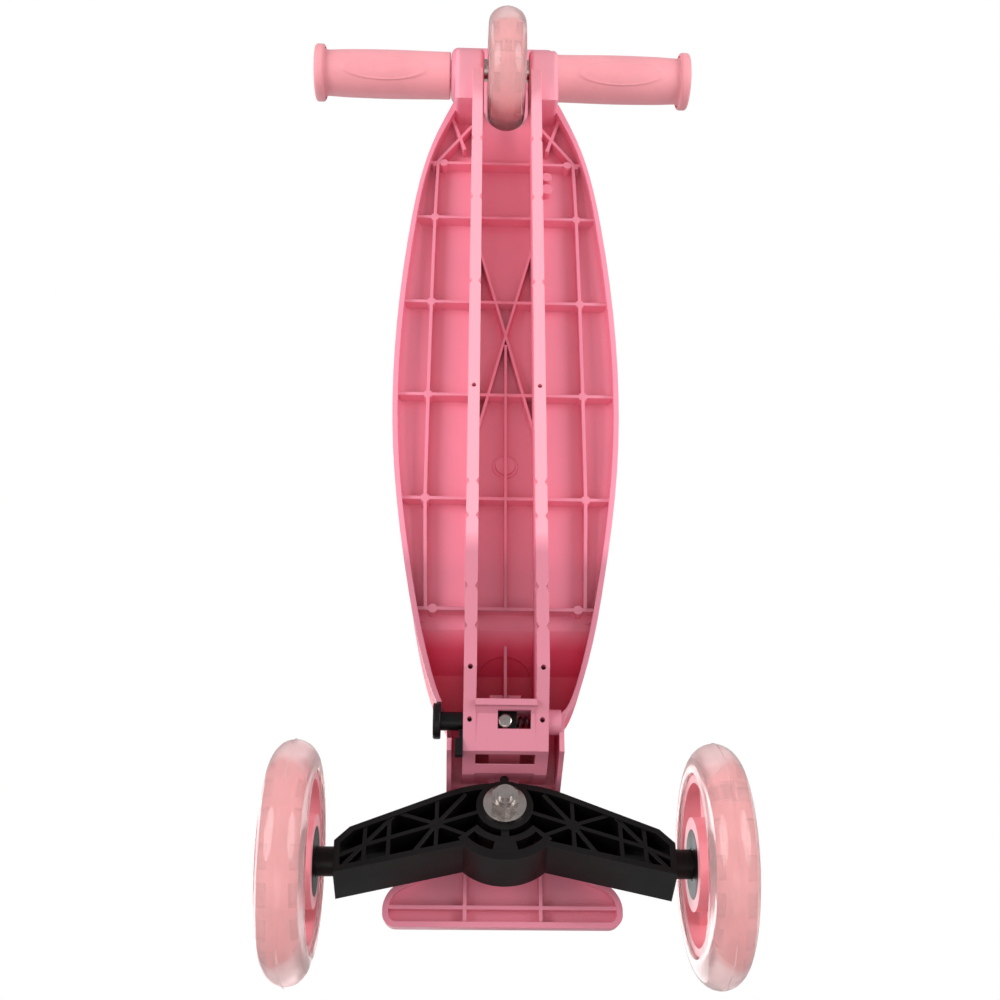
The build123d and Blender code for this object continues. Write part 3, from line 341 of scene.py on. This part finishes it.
class ScooterColours(bpy.types.PropertyGroup):
    """Colours of the scooter's materials."""
    deck_pink: colour_property("Deck", "Colour of the deck moulding", (0.86, 0.28, 0.38))
    # Painted shade: the deeper pink painted in the recess round the ramp, not a thicker plastic.
    ramp_shade_pink: colour_property("Ramp", "Colour of the thick plastic under the ramp", (0.80, 0.07, 0.16))
    # Painted highlight: the paler colour painted on the keels' lit feet.
    keel_highlight_pink: colour_property("Keel feet", "Colour of the keels' feet", (0.93, 0.37, 0.45))
    wheel_pink: colour_property("Wheel core", "Colour of the wheel cores", (0.90, 0.33, 0.38))
    ring_pink: colour_property("Light ring", "Colour of the rings inside the tyres", (0.88, 0.33, 0.34))
    grip_pink: colour_property("Grips", "Colour of the handlebar grips", (0.86, 0.33, 0.37))
    pad_pink: colour_property("Deck pad", "Colour of the standing pad", (0.80, 0.22, 0.34))
    tyre_tint: colour_property("Tyre", "Tint of the clear tyres", (1.0, 0.76, 0.76))
    black: colour_property("Black parts",
                           "Colour of the yoke and the small black parts", (0.004, 0.0032, 0.0032))


class ScooterTyres(bpy.types.PropertyGroup):
    """Shape of the tyres and light rings."""
    steps: bpy.props.IntProperty(name="Segments", description="Segments around a tyre", default=96, min=24)
    pockets: bpy.props.IntProperty(name="Pockets", description="Pockets around each shoulder of a front ring",
                                   default=18, min=6)
    right_gap: bpy.props.FloatProperty(name="Right gap",
                                       description="Angle of the right ring's gap, ahead towards down",
                                       default=math.radians(126), subtype="ANGLE", unit="ROTATION")
    left_gap: bpy.props.FloatProperty(name="Left gap",
                                      description="Angle of the left ring's gap, ahead towards down",
                                      default=math.radians(300), subtype="ANGLE", unit="ROTATION")
    rear_gap: bpy.props.FloatProperty(name="Rear gap",
                                      description="Angle of the rear ring's gap, ahead towards down",
                                      default=math.radians(80), subtype="ANGLE", unit="ROTATION")
    pocket_depth: bpy.props.FloatProperty(name="Pocket depth", description="Depth of the ring's pockets",
                                          default=1.6 * MM, min=0.0, subtype="DISTANCE", unit="LENGTH")


class ScooterGrips(bpy.types.PropertyGroup):
    """Shape of the handlebar grips."""
    radius: bpy.props.FloatProperty(name="Radius", description="Radius of a grip", default=16.5 * MM, min=0.0,
                                    subtype="DISTANCE", unit="LENGTH")
    flange_width: bpy.props.FloatProperty(name="Flange",
                                          description="Width of the end flange", default=7.0 * MM,
                                          min=0.0, subtype="DISTANCE", unit="LENGTH")
    pad_along: bpy.props.FloatProperty(name="Pad place",
                                       description="Pad's middle, as a share of the grip's length",
                                       default=0.52, min=0.0, max=1.0, subtype="FACTOR")
    pad_length: bpy.props.FloatProperty(name="Pad length", description="Length of the oval pad",
                                        default=62.0 * MM, min=0.0, subtype="DISTANCE", unit="LENGTH")
    pad_width: bpy.props.FloatProperty(name="Pad width", description="Width of the oval pad, round the grip",
                                       default=17.0 * MM, min=0.0, subtype="DISTANCE", unit="LENGTH")
    pad_rise: bpy.props.FloatProperty(name="Pad rise", description="How far the pad stands up",
                                      default=0.35 * MM, min=0.0, subtype="DISTANCE", unit="LENGTH")


class ScooterStage(bpy.types.PropertyGroup):
    """Camera, floor and lights."""
    lens: bpy.props.FloatProperty(name="Lens", description="Focal length of the camera", default=46.87,
                                  min=10.0, unit="CAMERA")
    camera_from_axle: bpy.props.FloatVectorProperty(name="Camera",
                                                    description="Camera from the front axle's middle",
                                                    default=(0.114327, 0.024016, -0.605753), subtype="XYZ",
                                                    unit="LENGTH")
    key_power: bpy.props.FloatProperty(name="Key",
                                       description="Power of the main light", default=7.0, min=0.0,
                                       unit="POWER")


# ---- stage ------------------------------------------------------------------------------------
VIEW_AHEAD = Vector((-0.42746, -0.02882, 0.90358))
VIEW_UP = Vector((-0.90403, 0.01637, -0.42715))


def add_light(name, place, target, size, power, colour=(1, 1, 1)):
    light = bpy.data.lights.new(name, "AREA")
    light.shape = "DISK"
    light.size = size
    light.energy = power
    light.color = colour
    lamp = bpy.data.objects.new(name, light)
    lamp.location = place
    lamp.rotation_euler = (Vector(target) - Vector(place)).to_track_quat("-Z", "Y").to_euler()
    bpy.context.scene.collection.objects.link(lamp)
    return lamp


class SCOOTER_OT_stage(bpy.types.Operator):
    """Sets the camera, the pale floor and the soft studio light"""
    bl_idname = "scooter.stage"
    bl_label = "Stage"

    def execute(self, context):
        settings = context.scene.scooter_stage
        scene = context.scene
        axle = centre("front_left_tyre")
        camera = bpy.data.cameras.new("camera")
        camera.lens = settings.lens
        camera.sensor_width = 36.0
        camera.clip_start = 0.01
        camera.clip_end = 100.0
        eye = bpy.data.objects.new("camera", camera)
        right = VIEW_AHEAD.cross(VIEW_UP).normalized()
        up = right.cross(VIEW_AHEAD).normalized()
        turn = Matrix((right, up, -VIEW_AHEAD.normalized())).transposed().to_4x4()
        place = Vector((axle.x, 0, 0)) + Vector(settings.camera_from_axle)
        eye.matrix_world = Matrix.Translation(place) @ turn
        scene.collection.objects.link(eye)
        scene.camera = eye

        world = bpy.data.worlds.new("studio")
        world.use_nodes = True
        tree = world.node_tree
        background = tree.nodes["Background"]
        background.inputs["Color"].default_value = (1, 1, 1, 1)
        background.inputs["Strength"].default_value = 0.45
        seen = tree.nodes.new("ShaderNodeBackground")
        seen.inputs["Color"].default_value = (1, 1, 1, 1)
        seen.inputs["Strength"].default_value = 1.0
        path = tree.nodes.new("ShaderNodeLightPath")
        either = tree.nodes.new("ShaderNodeMath")
        either.operation = "MAXIMUM"
        mix = tree.nodes.new("ShaderNodeMixShader")
        tree.links.new(path.outputs["Is Camera Ray"], either.inputs[0])
        tree.links.new(path.outputs["Is Transmission Ray"], either.inputs[1])
        tree.links.new(either.outputs["Value"], mix.inputs["Fac"])
        tree.links.new(background.outputs["Background"], mix.inputs[1])
        tree.links.new(seen.outputs["Background"], mix.inputs[2])
        tree.links.new(mix.outputs["Shader"], tree.nodes["World Output"].inputs["Surface"])
        scene.world = world
        scene.view_settings.view_transform = "Standard"

        bm = bmesh.new()
        bmesh.ops.create_grid(bm, x_segments=1, y_segments=1, size=4.0)
        mesh = bpy.data.meshes.new("floor")
        bm.to_mesh(mesh)
        bm.free()
        floor = bpy.data.objects.new("floor", mesh)
        scene.collection.objects.link(floor)
        floor.data.materials.append(self.floor_material())
        for ray in ("diffuse", "glossy", "transmission", "shadow"):
            setattr(floor, "visible_" + ray, False)

        power = settings.key_power
        add_light("left_softbox", (-0.1, 1.15, -0.75), (0.0, 0, 0.05), 1.0, power * 2.2)
        add_light("right_softbox", (-0.1, -1.15, -0.75), (0.0, 0, 0.05), 1.0, power * 2.0)
        add_light("front_fill", (0.9, 0.1, -0.9), (0.1, 0, 0.06), 0.8, power * 0.3)
        add_light("top", (0.2, 0.5, 1.6), (0, 0, 0.05), 1.2, power * 0.8)
        return {"FINISHED"}

    def floor_material(self):
        """Pale floor that is clear from underneath, where the camera is."""
        material, tree, shader, coords = nodes_of("floor")
        shader.inputs["Base Color"].default_value = (0.9, 0.9, 0.9, 1)
        shader.inputs["Roughness"].default_value = 0.9
        geometry = tree.nodes.new("ShaderNodeNewGeometry")
        clear = tree.nodes.new("ShaderNodeBsdfTransparent")
        mix = tree.nodes.new("ShaderNodeMixShader")
        tree.links.new(geometry.outputs["Backfacing"], mix.inputs["Fac"])
        tree.links.new(shader.outputs["BSDF"], mix.inputs[1])
        tree.links.new(clear.outputs["BSDF"], mix.inputs[2])
        tree.links.new(mix.outputs["Shader"], tree.nodes["Material Output"].inputs["Surface"])
        return material


class SCOOTER_OT_frame_finish(bpy.types.Operator):
    """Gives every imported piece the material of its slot"""
    bl_idname = "scooter.frame_finish"
    bl_label = "Frame Finish"

    def execute(self, context):
        MATERIALS.update(make_materials(context.scene.scooter_colours))
        for name, node in NODES.items():
            dress(node, SLOT_OF[name])
            node.data.shade_smooth()
            node.data.set_sharp_from_angle(angle=math.radians(32))
        return {"FINISHED"}


CROWN_SHARE = 0.82      # how much of the tyre's depth its round tread takes up


def swept_arc(centre_radius, half_width, crown_drop, count):
    """Half tread profile, from the shoulder at -half_width to +half_width, as (radius, y)."""
    points = []
    for i in range(count + 1):
        t = math.pi * i / count
        points.append((centre_radius - crown_drop * (1 - math.sin(t)), -half_width * math.cos(t)))
    return points


def wheel_sizes(name):
    """Middle of a wheel, its radius, half width, and its rim and ring radii, from its CAD nodes."""
    return {"middle": centre(name + "_tyre"), "r": half_size(name + "_tyre", 2),
            "half": half_size(name + "_tyre", 1), "rim": half_size(name + "_core", 2),
            "ring": half_size(name + "_light_ring", 2), "ring_half": half_size(name + "_light_ring", 1)}


def make_tyre(name, settings):
    """Clear tyre: rounded tread with a fine parting line, rounded beads and the ring's groove."""
    size = wheel_sizes(name)
    r, half, rim = size["r"], size["half"], size["rim"] + 0.05 * MM
    groove, groove_half = size["ring"] + 0.4 * MM, size["ring_half"] + 0.2 * MM
    seam, bead = 0.3 * MM, 1.6 * MM
    tread = swept_arc(r - seam, half, CROWN_SHARE * (r - rim), 18)
    middle = len(tread) // 2
    tread[middle:middle + 1] = [(r - seam, -1.1 * seam), (r, -0.5 * seam), (r, 0.5 * seam),
                                (r - seam, 1.1 * seam)]
    profile = tread + arc(rim + bead + 0.6 * MM, half - bead, bead, 90, 180, 4)
    profile += [(rim, groove_half), (groove, groove_half), (groove, -groove_half), (rim, -groove_half)]
    profile += arc(rim + bead + 0.6 * MM, -half + bead, bead, 180, 270, 4)
    bm = bmesh.new()
    lathe(bm, profile, size["middle"], (0, 1, 0), settings.steps)
    return finish_piece(bm, name + "_clear_tyre", "clear_tyre", BODY_OF[name + "_tyre"], name + "_tyre",
                        smooth=50.0)


def make_ring(name, settings):
    """Pink ring inside the tyre: pockets along both shoulders, and a gap that shows the lamp window."""
    size = wheel_sizes(name)
    inner, outer, half = size["rim"] + 0.08 * MM, size["ring"], size["ring_half"]
    middle, axis = size["middle"], Vector((0, 1, 0))
    steps = 6 * max(6, round(settings.pockets * outer / (49 * MM)))
    step = math.tau / steps
    gap_steps = 4 if outer > 0.04 else 3
    front = 0.35 * MM
    low, high = 0.5 * half, 0.92 * half
    profile = [(inner, -half), (inner, half), (outer - front, half), (outer, high), (outer, low),
               (outer, -low), (outer, -high), (outer - front, -half)]
    start = getattr(settings, name.replace("front_", "") + "_gap")
    bm = bmesh.new()
    out = Vector((math.cos(start), 0, -math.sin(start)))
    verts = [bm.verts.new(middle + out * r + axis * y) for r, y in profile]
    edges = [bm.edges.new((a, b)) for a, b in zip(verts, verts[1:] + verts[:1])]
    bmesh.ops.spin(bm, geom=verts + edges, cent=middle, axis=axis, angle=(steps - gap_steps) * step,
                   steps=steps - gap_steps)
    bmesh.ops.holes_fill(bm, edges=[e for e in bm.edges if e.is_boundary], sides=0)
    bm.faces.ensure_lookup_table()
    for side in (1, -1):
        pockets = []
        for face in bm.faces:
            at = face.calc_center_median() - middle
            if abs(at.y - side * (low + high) / 2) > 0.05 * half or math.hypot(at.x, at.z) < outer - 0.2 * MM:
                continue
            turn = (math.atan2(-at.z, at.x) - start) % math.tau
            place = turn / step % 6
            if 1.4 < place < 4.6 and turn / step < steps - gap_steps - 1:
                pockets.append(face)
        bmesh.ops.inset_region(bm, faces=pockets, thickness=0.25 * MM, use_even_offset=True)
        bmesh.ops.recalc_face_normals(bm, faces=bm.faces)
        for face in pockets:
            for vert in face.verts:
                at = vert.co - middle
                radial = Vector((at.x, 0, at.z))
                wanted = outer - settings.pocket_depth
                if radial.length > wanted + 0.2 * MM:
                    vert.co -= radial.normalized() * (radial.length - wanted)
    bars = lamp_window(middle, start - gap_steps * step / 2, outer, half, gap_steps * step * outer)
    for low_corner, high_corner in bars["boxes"]:
        size_of = high_corner - low_corner
        spot = Matrix.Translation((low_corner + high_corner) / 2) @ Matrix.Diagonal((*size_of, 1))
        made = bmesh.ops.create_cube(bm, size=1.0, matrix=bars["turn"] @ spot)
        bmesh.ops.bevel(bm, geom=list({e for v in made["verts"] for e in v.link_edges}), offset=0.25 * MM,
                        segments=2, profile=0.5, affect="EDGES", material=-1)
    return finish_piece(bm, name + "_ring", "ring_pink", BODY_OF[name + "_light_ring"],
                        name + "_light_ring")


def lamp_window(middle, angle, outer, half, length):
    """A small ladder of bars in the ring's gap, over the lamp module: x along the tread, y across it."""
    out = Vector((math.cos(angle), 0, -math.sin(angle)))
    along = Vector((0, 1, 0)).cross(out)
    turn = Matrix.Translation(middle) @ Matrix((along, Vector((0, 1, 0)), out)).transposed().to_4x4()
    bar, top = 0.9 * MM, outer - 0.3 * MM
    base = top - 3.4 * MM
    reach = length / 2 - 0.3 * MM
    boxes = [(Vector((-reach, -half + 0.4 * MM, base)), Vector((reach, half - 0.4 * MM, base + 0.8 * MM)))]
    for y in (-0.9 * half, -0.3 * half, 0.3 * half, 0.9 * half):
        boxes.append((Vector((-reach, y - bar / 2, base)), Vector((reach, y + bar / 2, top))))
    for x in (-reach + bar / 2, reach - bar / 2):
        boxes.append((Vector((x - bar / 2, -0.9 * half, base)), Vector((x + bar / 2, 0.9 * half, top))))
    return {"turn": turn, "boxes": boxes}


class SCOOTER_OT_tyres(bpy.types.Operator):
    """Makes the three clear tyres"""
    bl_idname = "scooter.tyres"
    bl_label = "Tyres"

    def execute(self, context):
        for name in WHEELS:
            make_tyre(name, context.scene.scooter_tyres)
        return {"FINISHED"}


class SCOOTER_OT_rings(bpy.types.Operator):
    """Makes the pink rings inside the tyres, with pockets and lamp windows"""
    bl_idname = "scooter.rings"
    bl_label = "Light Rings"

    def execute(self, context):
        for name in WHEELS:
            make_ring(name, context.scene.scooter_tyres)
        return {"FINISHED"}


class SCOOTER_OT_grips(bpy.types.Operator):
    """Makes the two handlebar grips, each with a raised oval pad"""
    bl_idname = "scooter.grips"
    bl_label = "Grips"

    def execute(self, context):
        settings = context.scene.scooter_grips
        for side in ("left", "right"):
            self.make_grip("grip_" + side, settings)
        return {"FINISHED"}

    def make_grip(self, node, settings):
        low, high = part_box(node)
        middle = (low + high) / 2
        outward = 1 if middle.y > 0 else -1
        start, end = (low.y, high.y) if outward > 0 else (high.y, low.y)
        flange, flange_width = (high.z - low.z) / 2, settings.flange_width
        grip_r, bore = settings.radius, half_size("handlebar", 2) + 0.02 * MM
        edge = 2.0 * MM
        neck = 2.6 * MM
        length = abs(end - start)
        bulge = 0.5 * MM
        profile = [(bore, 0.0), (grip_r - 0.8 * MM, 0.0), (grip_r, 0.8 * MM)]
        for t in [i / 16 for i in range(1, 17)]:
            taper = 0.6 * MM * max(0.0, t - 0.85) / 0.15
            profile.append((grip_r + bulge * math.sin(math.pi * t) ** 2 - taper,
                            0.8 * MM + t * (length - flange_width - neck)))
        turn = length - flange_width
        profile += arc(grip_r + neck - 0.6 * MM, turn - 0.8 * MM, neck * 0.8, 180, 100, 4)[1:]
        profile += [(flange - edge, turn)] + arc(flange - edge, turn + edge, edge, -90, 0, 4)[1:]
        profile += arc(flange - edge, length - edge, edge, 0, 90, 4)
        profile += [(0.006, length), (0.004, length - 0.5 * MM)]
        profile += [(0.0, length - 0.5 * MM), (0.0, length - 2.7 * MM), (bore, length - 2.7 * MM)]
        bm = bmesh.new()
        origin = Vector((middle.x, start, middle.z))
        lathe(bm, profile, origin, (0, outward, 0), 96)
        # oval pad, raised on the side that faces down
        self.raise_pad(bm, origin, outward, grip_r, turn, settings)
        finish_piece(bm, node + "_soft", "grip_rubber", BODY_OF[node], node, smooth=40.0)

    def raise_pad(self, bm, origin, outward, grip_r, turn, settings):
        """Cuts the grip finer where the pad is, then lifts the oval's skin outwards."""
        along = settings.pad_along * turn
        half_long, half_round = settings.pad_length / 2, settings.pad_width / 2
        facing = Vector((0.45, 0, -0.9)).normalized()
        side = Vector((0, 1, 0)).cross(facing)

        def oval(point):
            """Below 1 inside the oval."""
            at = point - origin
            angle = math.atan2(at.dot(side), at.dot(facing))
            return math.hypot((at.y * outward - along) / half_long, angle * grip_r / half_round), at

        near = []
        for face in bm.faces:
            value, at = oval(face.calc_center_median())
            if value < 1.35 and math.hypot(at.x, at.z) > grip_r - 0.6 * MM:
                near.append(face)
        edges = list({e for f in near for e in f.edges})
        bmesh.ops.subdivide_edges(bm, edges=edges, cuts=3, use_grid_fill=True)
        for vert in bm.verts:
            value, at = oval(vert.co)
            radial = Vector((at.x, 0, at.z))
            if value < 1.12 and radial.length > grip_r - 0.8 * MM:
                ring = math.exp(-((value - 0.93) / 0.07) ** 2)
                body = max(0.0, min(1.0, (1.02 - value) / 0.1))
                vert.co += radial.normalized() * (settings.pad_rise * body + 0.35 * MM * ring)


class SCOOTER_PT_panel(bpy.types.Panel):
    """Lists the scooter's steps in the sidebar"""
    bl_idname = "SCOOTER_PT_panel"
    bl_label = "Scooter"
    bl_space_type = "VIEW_3D"
    bl_region_type = "UI"
    bl_category = "Scooter"

    def draw(self, context):
        for operator in OPERATORS:
            self.layout.operator(operator.bl_idname)


OPERATORS = (SCOOTER_OT_stage, SCOOTER_OT_frame_finish, SCOOTER_OT_tyres, SCOOTER_OT_rings,
             SCOOTER_OT_grips)
SETTINGS = {"scooter_colours": ScooterColours, "scooter_tyres": ScooterTyres,
            "scooter_grips": ScooterGrips, "scooter_stage": ScooterStage}


def register():
    for group in SETTINGS.values():
        bpy.utils.register_class(group)
    for operator in OPERATORS:
        bpy.utils.register_class(operator)
    bpy.utils.register_class(SCOOTER_PT_panel)
    for name, group in SETTINGS.items():
        setattr(bpy.types.Scene, name, bpy.props.PointerProperty(type=group))


def unregister():
    for name in SETTINGS:
        delattr(bpy.types.Scene, name)
    bpy.utils.unregister_class(SCOOTER_PT_panel)
    for operator in reversed(OPERATORS):
        bpy.utils.unregister_class(operator)
    for group in reversed(list(SETTINGS.values())):
        bpy.utils.unregister_class(group)


def main():
    register()
    for operator in OPERATORS:
        group, name = operator.bl_idname.split(".")
        getattr(getattr(bpy.ops, group), name)()


if __name__ == "__main__":
    main()
